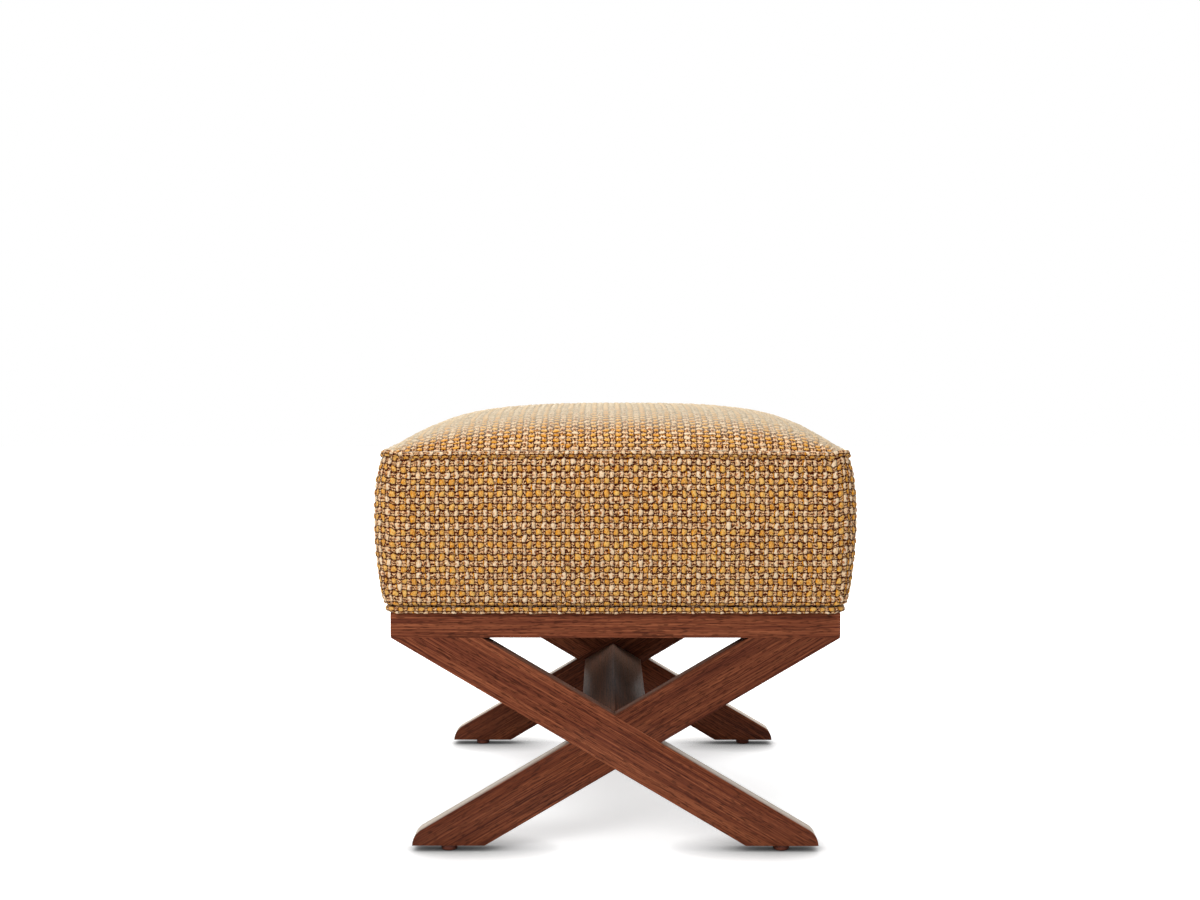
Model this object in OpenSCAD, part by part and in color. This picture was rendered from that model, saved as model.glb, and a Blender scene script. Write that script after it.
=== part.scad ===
/* [Base frame] */
// Width over the end rails
frame_w = 450; // [400:10:560]
// Depth over the two end rails, front to rear
frame_d = 450; // [400:10:640]
// Height of the base rails
rail_h = 25; // [24:0.5:32]
// Thickness of the base rails
rail_t = 22; // [20:0.5:28]
// Radius on the lower corners of the end rails
rail_corner_r = 2; // [1:0.5:4]

/* [Crossed legs] */
// Height of each X, from the foot to the underside of the rail
x_rise = 211.7; // [190:0.1:260]
// Width of a leg across its grain
leg_w = 46.3; // [40:0.1:54]
// Thickness of a leg
leg_t = 22; // [20:0.5:28]
// How far inside the rail's end the leg's upper edge meets the floor line
toe_inset = 2.5; // [0:0.5:8]
// Length of the sharp toe that the rounded nose replaces
toe_trim = 17.6; // [14:0.2:22]
// Radius of the rounded nose
nose_r = 18; // [12:0.5:19]

/* [Stretcher] */
// Thickness of the stretcher between its parallel faces
stretcher_w = 36.6; // [30:0.2:40]

/* [Glides] */
// Diameter of a glide
glide_d = 16.5; // [14:0.5:18]
// Height of a glide
glide_h = 6.3; // [5:0.1:9]
// Radius of the glide's rounded lower edge
glide_round_r = 2.2; // [1:0.1:2.6]

/* [Seat frame] */
// How far the seat frame lies inside the base frame on each side
seat_inset = 5; // [4:0.5:10]
// Width of a seat rail, which lies flat
seat_rail_w = 50; // [45:1:60]
// Thickness of a seat rail
seat_rail_t = 22; // [21:0.5:26]
// Strips of webbing each way
webbing_count = 4; // [3:1:5]
// Width of a webbing strip
webbing_w = 50; // [40:1:54]

/* [Cushion] */
// Height of the boxing from its bottom edge to the top welt, at a corner
boxing_h = 143; // [125:1:170]
// How far the boxing's top edge stands out past the base frame
boxing_top_over = 8.5; // [6:0.5:12]
// How far the boxing's bottom edge stands out past the base frame
boxing_low_over = 5; // [2:0.5:8]
// How far the boxing swells out between its two edges
boxing_swell = 10.3; // [8:0.1:14]
// How far each side of the boxing bows out in plan
side_bow = 3; // [0:0.5:8]
// Plan radius of the corner at the boxing's top edge
corner_top_r = 23; // [18:1:30]
// Plan radius of the corner at the boxing's bottom edge
corner_low_r = 15; // [12:1:20]
// How much rounder the corner gets halfway up
corner_swell_r = 17; // [10:1:22]
// Rise of the crown above its edge
crown_h = 40; // [30:0.5:50]
// How much higher the top welt lies at mid-side than at the corners
seam_bow = 2.5; // [0:0.5:6]
// Thickness of the foam block
foam_h = 116; // [95:1:118]
// Thickness of the wadding over the crown
wadding_t = 5; // [4:0.5:7]
// Thickness of the cover cloth
cover_t = 2; // [1.5:0.1:2.4]
// Diameter of the top welt
top_welt_d = 7; // [5:0.2:8]
// How far the top welt's middle lies inside the boxing's top edge
top_welt_in = 1; // [0:0.5:1.5]
// Diameter of the bottom welt
bottom_welt_d = 6.6; // [5:0.2:7]

/* [Dowels] */
// Diameter of the dowels at the corners of the base frame
rail_dowel_d = 6; // [5:0.5:7]
// Length of the dowels at the corners of the base frame
rail_dowel_len = 38; // [32:1:42]
// Distance between the two dowels of a corner
rail_dowel_pitch = 11; // [9:0.5:12]
// Diameter of the dowels in the legs and the stretcher
leg_dowel_d = 8; // [6:0.5:9]
// Length of the dowels at the leg tops
leg_dowel_len = 32; // [28:1:34]
// Distance from the rail's end to the outer dowel of a leg
leg_dowel_first = 48; // [47:0.5:50]
// Distance between the two dowels of a leg
leg_dowel_pitch = 27; // [24:0.5:28]
// Length of the stretcher dowels
stretcher_dowel_len = 42; // [36:1:50]
// Distance between the two stretcher dowels of one end
stretcher_dowel_pitch = 28; // [22:1:32]

/* [Corner blocks and screws] */
// Length of a corner block along each rail
block_leg = 70; // [66:1:80]
// Thickness of a corner block
block_t = 18; // [16:0.5:20]
// Shank diameter of the block screws
block_screw_d = 4; // [3:0.5:4.5]
// Length of the block screws under the head
block_screw_len = 28; // [24:1:30]
// Shank diameter of the seat screws
seat_screw_d = 5; // [4:0.5:6]
// Length of the seat screws under the head
seat_screw_len = 40; // [34:1:41]

/* [Hidden] */
$fn = 48;

// Overrun of every cut past the surface that it starts from
overrun = 1;
// How far a rounding arc stands past the two edges that it joins, so that it crosses both
arc_over = 0.02;
// Radial room of a dowel or screw in its hole
hole_fit = 0.05;
// Room beyond the end of a dowel, screw or nail
end_room = 0.5;
// Room between two cloths sewn together
cloth_fit = 0.3;
// Room between the seat frame's side and the cloth on it
side_fit = 0.2;
// Room between two soft layers
pad_fit = 0.6;
// Gap between two boxing panels at their seam, measured along each
seam_gap = 0.3;

// Part of a corner dowel that sits in the end rail
rail_dowel_in = 14;
// Part of a leg dowel that sits up in the end rail
leg_dowel_up = 14;
// Part of a stretcher dowel that sits in the crossed legs
stretcher_dowel_in = 15;

// Distance from a block's sharp tip to its screw, along the rail
block_screw_from_tip = 31;
// Depth of wood left under a block screw's head
block_screw_grip = 13;
// Depth of the block screws below the block's top
block_screw_drop = 7;
// Blunt corner of a block, clear of the glue in the rail corner
block_blunt = 6;
// Distance from each rail to the seat screw in a block
seat_screw_in = 20;
// Head diameter and height of the block screws
block_head_d = 8;
block_head_h = 3;
// Head diameter and height of the seat screws
seat_head_d = 10;
seat_head_h = 3.5;
// Length of every screw's tapered point
screw_point = 4;
// Room round a screw head in its counterbore
head_fit = 0.25;

// Nail of a glide: shank diameter, length in the leg, and the head inside the glide
nail_d = 2.4;
nail_in = 15;
nail_head_d = 8;
nail_head_h = 1.2;
// Plastic under the nail's head
nail_floor = 2.4;

// Plan radius of the seat frame's corners
seat_corner_r = 8;
// Thickness of webbing, hessian and dust cover
webbing_t = 1.5;
hessian_t = 0.8;
dust_t = 0.8;
// Room between crossing strips, and under the hessian
weave_fit = 0.1;
// Distance from the seat frame's outer edge to the webbing's ends and the hessian's edge
webbing_inset = 8;
// Length of flat strip past each crossing, before the strip slopes
crossing_flat = 2;
// Distance from the seat frame's outer edge to the dust cover's edge
dust_inset = 5;
// Width of the cover's edge turned under the seat frame
turn_under_w = 24;
// Drop and lift of the cloth where the boxing tucks in above the bottom welt
tuck_drop = 3.2;
tuck_lift = 1.2;
// Plan radius of the inner corner of the turned-under edge
turn_under_r = 1.5;
// How far the bottom welt floats above the base rails
bottom_welt_lift = 1.2;
// How far the foam block stands out past the base frame, and its corner radius
foam_over = 1.5;
foam_corner_r = 24;
// Step in the wadding below the foam block
wadding_step = 1;

// Shape of the boxing's swell down its height
swell_skew_share = 0.8;
swell_power_share = 0.7;
// Shape of the crown across the seat
crown_side_power = 3.5;
crown_round_power = 0.6;

// Heights on the boxing, as shares from its top edge to its bottom edge
boxing_shares = [0, 0.08, 0.22, 0.4, 0.58, 0.75, 0.89, 1];
// Rings of the top panel and the crown foam, as shares from the edge to the centre
panel_shares = [0, 0.03, 0.08, 0.17, 0.32, 0.53, 0.77];
crown_shares = [0, 0.06, 0.2, 0.45, 0.74];
// Steps along each side of a ring, and from a side to the corner seam
side_steps = 8;
corner_steps = 2;
steps = side_steps + 2 * corner_steps;
// Sides of the welts' round section
welt_sides = 8;

// Geometry of the crossed legs, in a frame with the foot at height zero
leg_span = frame_w - toe_inset;
leg_angle = atan2(x_rise, leg_span) + asin(leg_w / norm([leg_span, x_rise]));
leg_cut = leg_w / sin(leg_angle);
toe_x = frame_w / 2 - toe_inset - toe_trim;
heel_x = frame_w / 2 - toe_inset - leg_cut;
cross_z = x_rise / 2 - toe_inset / 2 * tan(leg_angle);
nose_x = toe_x - nose_r;
nose_z = (toe_trim + nose_r) * tan(leg_angle) - nose_r / cos(leg_angle);
glide_x = (toe_x + heel_x) / 2;

// Heights in the whole ottoman
rail_z = glide_h + x_rise;
rail_top = rail_z + rail_h;
turn_under_z = rail_top + dust_t;
seat_z = turn_under_z + cover_t;
webbing_z = seat_z + seat_rail_t;
hessian_z = webbing_z + 2 * (webbing_t + weave_fit);
foam_z = hessian_z + hessian_t;
foam_top = foam_z + foam_h;
bottom_welt_z = rail_top + bottom_welt_lift + bottom_welt_d / 2;
boxing_low_z = bottom_welt_z + bottom_welt_d / 2 + cloth_fit + tuck_drop - cloth_fit / 2;
boxing_top_z = boxing_low_z + boxing_h;
panel_edge_z = boxing_top_z + cloth_fit + top_welt_d / 2 + cover_t / 2;
wadding_low_z = boxing_low_z + tuck_lift + pad_fit;

// Half sizes in plan, each as [half width, half depth]
frame_half = [frame_w / 2, frame_d / 2];
inner_half = grown(frame_half, -rail_t);
seat_half = grown(frame_half, -seat_inset);
tuck_half = grown(seat_half, side_fit + cover_t);
boxing_top_half = grown(frame_half, boxing_top_over);
boxing_low_half = grown(frame_half, boxing_low_over);
top_welt_half = grown(boxing_top_half, -top_welt_in);
top_welt_r = corner_top_r - top_welt_in;
panel_half = grown(top_welt_half, -top_welt_d / 2 - cloth_fit);
panel_r = top_welt_r - top_welt_d / 2 - cloth_fit;
foam_half = grown(frame_half, foam_over);
bottom_welt_half = grown(tuck_half, cloth_fit + bottom_welt_d / 2);
tuck_r = corner_low_r - (boxing_low_over + seat_inset - side_fit - cover_t);
bottom_welt_r = tuck_r + cloth_fit + bottom_welt_d / 2;

// A half size made larger on every side
function grown(half, by) = [half[0] + by, half[1] + by];

// A value between two others
function between(a, b, share) = a + (b - a) * share;

// How far the boxing has swelled at a share of its height, from 0 to 1 and back
function swell(share) =
    pow(max(0, sin(180 * pow(share, swell_skew_share))), swell_power_share);

// Angle of the outline at step i of a side, from -45 to 45 degrees
function lean(i) =
    i < corner_steps ? -45 * (1 - i / corner_steps)
    : i > steps - corner_steps ? 45 * (i - steps + corner_steps) / corner_steps
    : 0;

// Step i of one side of a rounded outline, as [along the side, out from the middle]
function side_point(along, out, r, bow, i) =
    let (t = 2 * (i - corner_steps) / side_steps - 1)
    lean(i) == 0 ? [t * (along - r), out + bow * (1 - t * t)]
    : [sign(lean(i)) * (along - r) + r * sin(lean(i)), out - r + r * cos(lean(i))];

// A side's point turned to its place: side 0 is the front, then right, rear and left
function turned(side, p) =
    side == 0 ? [p[0], -p[1]]
    : side == 1 ? [p[1], p[0]]
    : side == 2 ? [-p[0], p[1]]
    : [-p[1], -p[0]];

// Point of a whole rounded outline, and the direction that it faces
function ring_xy(half, r, bow, side, i) =
    turned(side, side_point(half[side % 2], half[1 - side % 2], r, bow, i));
function ring_normal(side, i) = turned(side, [sin(lean(i)), cos(lean(i))]);
ring_steps = [for (side = [0:3], i = [0:steps - 1]) [side, i]];

// Height of the cover's outer face above a point of the seat
function edge_share(p, k) = min(1, abs(p[k]) / panel_half[k]);
function crown_side(share) = pow(1 - pow(share, crown_side_power), crown_round_power);
function cover_z(p) =
    panel_edge_z
    + seam_bow * (1 - pow(edge_share(p, 0) * edge_share(p, 1), 2))
    + crown_h * crown_side(edge_share(p, 0)) * crown_side(edge_share(p, 1));

// Height of the top welt's centre, and of the boxing's top edge below it
function top_welt_z(side, i) =
    cover_z(ring_xy(panel_half, panel_r, 0, side, i)) - cover_t / 2;
function boxing_edge_z(side, i) = top_welt_z(side, i) - top_welt_d / 2 - cloth_fit;

// Point of the boxing's face at a share of its height, set in by some depth
function boxing_point(share, in, side, i) =
    let (
        over = between(boxing_top_over, boxing_low_over, share) + boxing_swell * swell(share),
        r = between(corner_top_r, corner_low_r, share) + corner_swell_r * swell(share),
        p = ring_xy(grown(frame_half, over - in), r - in, side_bow * swell(share), side, i)
    )
    [p[0], p[1], between(boxing_edge_z(side, i), boxing_low_z, share)];

// A ring of points at one height, and one that follows the crown
function level_ring(half, r, z) =
    [for (s = ring_steps) let (p = ring_xy(half, r, 0, s[0], s[1])) [p[0], p[1], z]];
function crown_ring(half, r, share, down) =
    [for (s = ring_steps)
        let (p = ring_xy(half, r, 0, s[0], s[1]) * (1 - share))
        [p[0], p[1], cover_z(p) - down]];
function boxing_ring(share, in) = [for (s = ring_steps) boxing_point(share, in, s[0], s[1])];
function reversed(list) = [for (k = [len(list) - 1:-1:0]) list[k]];

// Triangles of a grid of points, row after row, closed round its columns or both ways
function grid_faces(rows, cols, closed_rows, flip) = [
    for (a = [0:rows - (closed_rows ? 1 : 2)], b = [0:cols - 1])
        let (
            p = a * cols + b,
            q = a * cols + (b + 1) % cols,
            r = (a + 1) % rows * cols + b,
            s = (a + 1) % rows * cols + (b + 1) % cols
        )
        each flip ? [[p, q, r], [q, s, r]] : [[p, q, s], [p, s, r]]
];

// A closed body from a pole through rings of points to another pole
module ringed_body(first_pole, rings, last_pole, flip) {
    cols = len(rings[0]);
    rows = len(rings);
    last = rows * cols;
    polyhedron(
        points = concat([for (ring = rings) each ring], [first_pole, last_pole]),
        faces = concat(
            grid_faces(rows, cols, false, flip),
            [for (b = [0:cols - 1]) [last, (b + 1) % cols, b]],
            [for (b = [0:cols - 1]) [last + 1, last - cols + b, last - cols + (b + 1) % cols]]
        ),
        convexity = 4
    );
}

// A round cord that runs once round the seat
module welt(half, r, d, zs) {
    polyhedron(
        points = [
            for (k = [0:len(ring_steps) - 1])
                let (
                    s = ring_steps[k],
                    p = ring_xy(half, r, 0, s[0], s[1]),
                    n = ring_normal(s[0], s[1])
                )
                each [
                    for (j = [0:welt_sides - 1])
                        let (
                            turn = 360 * (j + 0.5) / welt_sides,
                            out = d / 2 * cos(turn),
                            up = d / 2 * sin(turn)
                        )
                        [p[0] + n[0] * out, p[1] + n[1] * out, zs[k] + up]
                ]
        ],
        faces = grid_faces(len(ring_steps), welt_sides, true, false),
        convexity = 4
    );
}

// Waste outside a rounded corner of an outline whose corner lies at the origin
module corner_waste(r) {
    difference() {
        translate([-overrun, -overrun]) square(r + overrun);
        translate([r, r]) circle(r + arc_over);
    }
}

// A rectangle centred on the origin, with rounded corners
module rounded_outline(half, r) {
    difference() {
        square(2 * half, center = true);
        for (x = [0, 1], y = [0, 1])
            mirror([x, 0]) mirror([0, y]) translate(-half) corner_waste(r);
    }
}

// Copies at the front and rear, and at the left and right, by mirroring
module front_and_rear() {
    for (m = [0, 1]) mirror([0, m, 0]) children();
}
module left_and_right() {
    for (m = [0, 1]) mirror([m, 0, 0]) children();
}

// Outline of the leg that rises to the right, seen from the front
module leg_outline() {
    nose_top = [-nose_x - nose_r * sin(leg_angle), nose_z + nose_r * cos(leg_angle)];
    difference() {
        polygon([
            [-toe_x, 0], [-toe_x, toe_trim * tan(leg_angle)],
            [frame_w / 2 - leg_cut, x_rise], [frame_w / 2, x_rise], [-heel_x, 0]
        ]);
        difference() {
            polygon([
                [-toe_x - overrun, nose_z], [-toe_x - overrun, toe_trim * tan(leg_angle)],
                [-toe_x, toe_trim * tan(leg_angle) + overrun],
                nose_top, [-nose_x, nose_z]
            ]);
            translate([-nose_x, nose_z]) circle(nose_r + arc_over);
        }
    }
}

// A leg of the front X in its place, whole on the face or lapped behind the other
module leg(rises_left, is_over) {
    lap_from = is_over ? leg_t / 2 : -overrun;
    lap_to = is_over ? leg_t + overrun : leg_t / 2;
    difference() {
        translate([0, -frame_d / 2, glide_h]) difference() {
            mirror([rises_left ? 1 : 0, 0, 0]) upright(0, leg_t) leg_outline();
            mirror([rises_left ? 0 : 1, 0, 0]) upright(lap_from, lap_to) leg_outline();
        }
        left_and_right() leg_dowel_holes();
        left_and_right() stretcher_dowel_hole();
        left_and_right() glide_place() nail_hole();
    }
}

// An outline in width and height, made solid from one depth to another
module upright(from, to) {
    translate([0, to, 0]) rotate([90, 0, 0]) linear_extrude(to - from) children();
}

// Dowels, laid with one end at the origin and running up
module dowel(d, len) {
    cylinder(d = d, h = len);
}
module dowel_hole(d, len) {
    translate([0, 0, -end_room]) cylinder(d = d + 2 * hole_fit, h = len + 2 * end_room);
}

// Screw with a flat-backed head below the origin and its shank running up
module screw(d, len, head_d, head_h) {
    translate([0, 0, -head_h]) cylinder(d = head_d, h = head_h);
    cylinder(d = d, h = len - screw_point);
    translate([0, 0, len - screw_point]) cylinder(d1 = d, d2 = d / 2, h = screw_point);
}
module screw_hole(d, len) {
    translate([0, 0, -overrun]) cylinder(d = d + 2 * hole_fit, h = len + overrun + end_room);
}

// Where the dowels lie, on the front right quarter of the base
module rail_dowel_places() {
    for (up = [-0.5, 0.5])
        translate([
            frame_w / 2 - rail_t / 2,
            -inner_half[1] - rail_dowel_in,
            rail_z + rail_h / 2 + up * rail_dowel_pitch
        ])
            rotate([-90, 0, 0]) children();
}
module leg_dowel_places() {
    for (k = [0, 1])
        translate([
            frame_w / 2 - leg_dowel_first - k * leg_dowel_pitch,
            leg_t / 2 - frame_d / 2,
            rail_z + leg_dowel_up - leg_dowel_len
        ])
            children();
}
module stretcher_dowel_place() {
    translate([stretcher_dowel_pitch / 2, leg_t - stretcher_dowel_in - frame_d / 2, glide_h + cross_z])
        rotate([-90, 0, 0]) children();
}
module rail_dowel_holes() {
    rail_dowel_places() dowel_hole(rail_dowel_d, rail_dowel_len);
}
module leg_dowel_holes() {
    leg_dowel_places() dowel_hole(leg_dowel_d, leg_dowel_len);
}
module stretcher_dowel_hole() {
    stretcher_dowel_place() dowel_hole(leg_dowel_d, stretcher_dowel_len);
}

// Where the screws lie, on the front right quarter of the base
module block_screw_places() {
    from_corner = block_leg - block_screw_from_tip;
    z = rail_top - block_screw_drop;
    translate([inner_half[0] - from_corner, block_screw_grip - inner_half[1], z])
        rotate([90, 0, 0]) children();
    translate([inner_half[0] - block_screw_grip, from_corner - inner_half[1], z])
        rotate([0, 90, 0]) children();
}
module seat_screw_place() {
    translate([inner_half[0] - seat_screw_in, seat_screw_in - inner_half[1], rail_top - block_t])
        children();
}
module block_screw_holes() {
    block_screw_places() screw_hole(block_screw_d, block_screw_len);
}
module seat_screw_hole() {
    seat_screw_place() screw_hole(seat_screw_d, seat_screw_len);
}
module glide_place() {
    translate([glide_x, leg_t / 2 - frame_d / 2, 0]) children();
}

// Nail of a glide, and the hole that it fills in the glide and the leg
module nail_shape(fit) {
    translate([0, 0, nail_floor - fit]) cylinder(d = nail_head_d + 2 * fit, h = nail_head_h + 2 * fit);
    translate([0, 0, nail_floor]) cylinder(d = nail_d + 2 * fit, h = glide_h + nail_in - nail_floor + fit);
}
module nail_hole() {
    nail_shape(hole_fit);
}

// Front end rail, with its lower corners eased
module end_rail() {
    difference() {
        translate([0, -frame_d / 2, rail_z + rail_h / 2]) upright(0, rail_t) difference() {
            square([frame_w, rail_h], center = true);
            for (x = [0, 1])
                mirror([x, 0]) translate([-frame_w / 2, -rail_h / 2]) corner_waste(rail_corner_r);
        }
        left_and_right() rail_dowel_holes();
        left_and_right() leg_dowel_holes();
        left_and_right() block_screw_holes();
    }
}

// Right side rail, which butts between the two end rails
module side_rail() {
    difference() {
        translate([inner_half[0], -inner_half[1], rail_z]) cube([rail_t, 2 * inner_half[1], rail_h]);
        front_and_rear() rail_dowel_holes();
        front_and_rear() block_screw_holes();
    }
}

// Corner block of the front right quarter, with its counterbored screw holes
module corner_block() {
    difference() {
        translate([inner_half[0], -inner_half[1], rail_top - block_t]) linear_extrude(block_t) polygon([
            [-block_blunt, 0], [-block_leg, 0], [0, block_leg], [0, block_blunt]
        ]);
        block_screw_holes();
        block_screw_places() mirror([0, 0, 1]) cylinder(d = block_head_d + 2 * head_fit, h = block_leg);
        seat_screw_hole();
    }
}

// A seat rail's plan, rounded where it forms a corner of the frame
module seat_plan(half, middle) {
    intersection() {
        rounded_outline(seat_half, seat_corner_r);
        translate(middle) square(2 * half, center = true);
    }
}

// Front seat rail, halved on top where the side rails lap over it
module seat_end_rail() {
    side_x = seat_half[0] - seat_rail_w;
    difference() {
        translate([0, 0, seat_z]) linear_extrude(seat_rail_t)
            seat_plan([seat_half[0], seat_rail_w / 2], [0, seat_rail_w / 2 - seat_half[1]]);
        left_and_right() translate([side_x, -seat_half[1] - overrun, seat_z + seat_rail_t / 2])
            cube([seat_rail_w + overrun, seat_rail_w + 2 * overrun, seat_rail_t]);
        left_and_right() seat_screw_hole();
    }
}

// Right seat rail, halved underneath where it laps over the front and rear rails
module seat_side_rail() {
    end_y = seat_half[1] - seat_rail_w;
    difference() {
        translate([0, 0, seat_z]) linear_extrude(seat_rail_t)
            seat_plan([seat_rail_w / 2, seat_half[1]], [seat_half[0] - seat_rail_w / 2, 0]);
        front_and_rear() translate([seat_half[0] - seat_rail_w - overrun, end_y, seat_z - seat_rail_t / 2])
            cube([seat_rail_w + 2 * overrun, seat_rail_w + overrun, seat_rail_t]);
        front_and_rear() seat_screw_hole();
    }
}

// Places of the webbing strips across an opening
function strip_place(opening, k) =
    let (gap = (opening - webbing_count * webbing_w) / (webbing_count + 1))
    gap + webbing_w / 2 + k * (gap + webbing_w) - opening / 2;

// Outline of a crossing strip, which runs over and under the long strips in turn
module cross_strip_outline(first_over) {
    opening = 2 * (seat_half[0] - seat_rail_w);
    flat_half = webbing_w / 2 + crossing_flat;
    lower_face = concat(
        [[webbing_inset - seat_half[0], 0], [-opening / 2, 0]],
        [for (k = [0:webbing_count - 1], x = [-flat_half, flat_half])
            [
                strip_place(opening, k) + x,
                ((k + first_over) % 2 == 0 ? 1 : -1) * (webbing_t + weave_fit)
            ]],
        [[opening / 2, 0], [seat_half[0] - webbing_inset, 0]]
    );
    polygon(concat(lower_face, [for (p = reversed(lower_face)) [p[0], p[1] + webbing_t]]));
}

// One boxing panel, from its edge under the top welt to the edge turned under the seat
module boxing_panel(side) {
    function section(i) = concat(
        [for (share = boxing_shares) boxing_point(share, 0, side, i)],
        [
            tuck_point(0, 0, boxing_low_z - tuck_drop, i),
            tuck_point(0, 0, turn_under_z, i),
            tuck_point(turn_under_w, turn_under_r, turn_under_z, i),
            tuck_point(turn_under_w, turn_under_r, seat_z, i),
            tuck_point(cover_t, 0, seat_z, i),
            tuck_point(cover_t, 0, boxing_low_z - tuck_drop + tuck_lift, i)
        ],
        [let (p = boxing_point(1, cover_t, side, i)) [p[0], p[1], p[2] + tuck_lift]],
        [for (k = [len(boxing_shares) - 2:-1:0]) boxing_point(boxing_shares[k], cover_t, side, i)]
    );
    function tuck_point(in, r, z, i) =
        let (p = ring_xy(grown(tuck_half, -in), r > 0 ? r : tuck_r - in, 0, side, i)) [p[0], p[1], z];
    along_half = frame_half[side % 2];
    seam_share = 1 - seam_gap / along_half;
    seam_scale = side % 2 == 0 ? [seam_share, 1, 1] : [1, seam_share, 1];
    sections = [
        for (i = [0:steps])
            [for (p = section(i)) [for (k = [0:2]) p[k] * seam_scale[k]]]
    ];
    cols = len(sections[0]);
    first_end = [
        for (k = [0:cols / 2 - 2]) each [[k, k + 1, cols - 2 - k], [k, cols - 2 - k, cols - 1 - k]]
    ];
    polyhedron(
        points = [for (s = sections) each s],
        faces = concat(
            grid_faces(steps + 1, cols, false, false),
            [for (f = first_end) reversed(f)],
            [for (f = first_end) f + [1, 1, 1] * steps * cols]
        ),
        convexity = 6
    );
}

// The modules below are the sub-parts, each in its place
module front_end_rail() {
    color("#7a4434") end_rail();
}
module rear_end_rail() {
    color("#7a4434") mirror([0, 1, 0]) end_rail();
}
module left_side_rail() {
    color("#744031") mirror([1, 0, 0]) side_rail();
}
module right_side_rail() {
    color("#744031") side_rail();
}
module rail_dowels() {
    color("#d8b483") front_and_rear() left_and_right() rail_dowel_places()
        dowel(rail_dowel_d, rail_dowel_len);
}
module front_leg_over() {
    color("#7f4837") leg(true, true);
}
module front_leg_under() {
    color("#6f3d2e") leg(false, false);
}
module rear_leg_over() {
    color("#7f4837") mirror([0, 1, 0]) leg(true, true);
}
module rear_leg_under() {
    color("#6f3d2e") mirror([0, 1, 0]) leg(false, false);
}
module leg_dowels() {
    color("#d8b483") front_and_rear() left_and_right() leg_dowel_places()
        dowel(leg_dowel_d, leg_dowel_len);
}
module stretcher() {
    half_across = stretcher_w / 2 / sin(leg_angle);
    half_up = stretcher_w / 2 / cos(leg_angle);
    color("#5d382c") difference() {
        translate([0, 0, glide_h + cross_z]) upright(leg_t - frame_d / 2, frame_d / 2 - leg_t)
            polygon([[half_across, 0], [0, half_up], [-half_across, 0], [0, -half_up]]);
        front_and_rear() left_and_right() stretcher_dowel_hole();
    }
}
module stretcher_dowels() {
    color("#d8b483") front_and_rear() left_and_right() stretcher_dowel_place()
        dowel(leg_dowel_d, stretcher_dowel_len);
}
module corner_blocks() {
    color("#c9a06a") front_and_rear() left_and_right() corner_block();
}
module block_screws() {
    color("#b9b3a4") front_and_rear() left_and_right() block_screw_places()
        screw(block_screw_d, block_screw_len, block_head_d, block_head_h);
}
module seat_screws() {
    color("#b9b3a4") front_and_rear() left_and_right() seat_screw_place()
        screw(seat_screw_d, seat_screw_len, seat_head_d, seat_head_h);
}
module glides() {
    color("#6b3a2c") front_and_rear() left_and_right() glide_place() difference() {
        rotate_extrude() difference() {
            square([glide_d / 2, glide_h]);
            translate([glide_d / 2, 0]) mirror([1, 0]) corner_waste(glide_round_r);
        }
        nail_hole();
    }
}
module glide_nails() {
    color("#b9b3a4") front_and_rear() left_and_right() glide_place() nail_shape(0);
}
module seat_rail_front() {
    color("#e2c08c") seat_end_rail();
}
module seat_rail_rear() {
    color("#e2c08c") mirror([0, 1, 0]) seat_end_rail();
}
module seat_rail_left() {
    color("#dcb883") mirror([1, 0, 0]) seat_side_rail();
}
module seat_rail_right() {
    color("#dcb883") seat_side_rail();
}
module webbing_long() {
    opening = 2 * (seat_half[0] - seat_rail_w);
    half_len = seat_half[1] - webbing_inset;
    color("#4a4540") for (k = [0:webbing_count - 1])
        translate([strip_place(opening, k) - webbing_w / 2, -half_len, webbing_z])
            cube([webbing_w, 2 * half_len, webbing_t]);
}
module webbing_cross() {
    opening = 2 * (seat_half[1] - seat_rail_w);
    color("#5a534b") for (k = [0:webbing_count - 1])
        translate([0, strip_place(opening, k), webbing_z])
            upright(-webbing_w / 2, webbing_w / 2) cross_strip_outline(k % 2);
}
module hessian_sheet() {
    color("#b8996a") translate([0, 0, hessian_z]) linear_extrude(hessian_t)
        square(2 * grown(seat_half, -webbing_inset), center = true);
}
module foam_block() {
    color("#efe3b5") translate([0, 0, foam_z]) linear_extrude(foam_h)
        rounded_outline(foam_half, foam_corner_r);
}
module foam_crown() {
    down = cover_t + pad_fit + wadding_t + pad_fit;
    color("#f4ebcb") ringed_body(
        [0, 0, cover_z([0, 0]) - down],
        concat(
            reversed([for (share = crown_shares) crown_ring(foam_half, foam_corner_r, share, down)]),
            [level_ring(foam_half, foam_corner_r, foam_top)]
        ),
        [0, 0, foam_top],
        true
    );
}
module wadding_wrap() {
    outer_down = cover_t + pad_fit;
    inner_down = outer_down + wadding_t;
    inner_half = grown(foam_half, pad_fit);
    inner_r = foam_corner_r + pad_fit;
    frame_side = grown(seat_half, pad_fit);
    frame_r = seat_corner_r + pad_fit;
    side_shares = [for (share = boxing_shares) if (share < 1) share];
    color("#f6f4ee") ringed_body(
        [0, 0, cover_z([0, 0]) - outer_down],
        concat(
            reversed([for (share = panel_shares) crown_ring(panel_half, panel_r, share, outer_down)]),
            [for (share = side_shares) boxing_ring(share, outer_down)],
            [
                level_ring(
                    grown(boxing_low_half, -outer_down), corner_low_r - outer_down, wadding_low_z
                ),
                level_ring(frame_side, frame_r, wadding_low_z),
                level_ring(frame_side, frame_r, foam_z - pad_fit - wadding_step),
                level_ring(inner_half, inner_r, foam_z - pad_fit)
            ],
            [for (share = crown_shares) crown_ring(inner_half, inner_r, share, inner_down)]
        ),
        [0, 0, cover_z([0, 0]) - inner_down],
        true
    );
}
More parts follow.
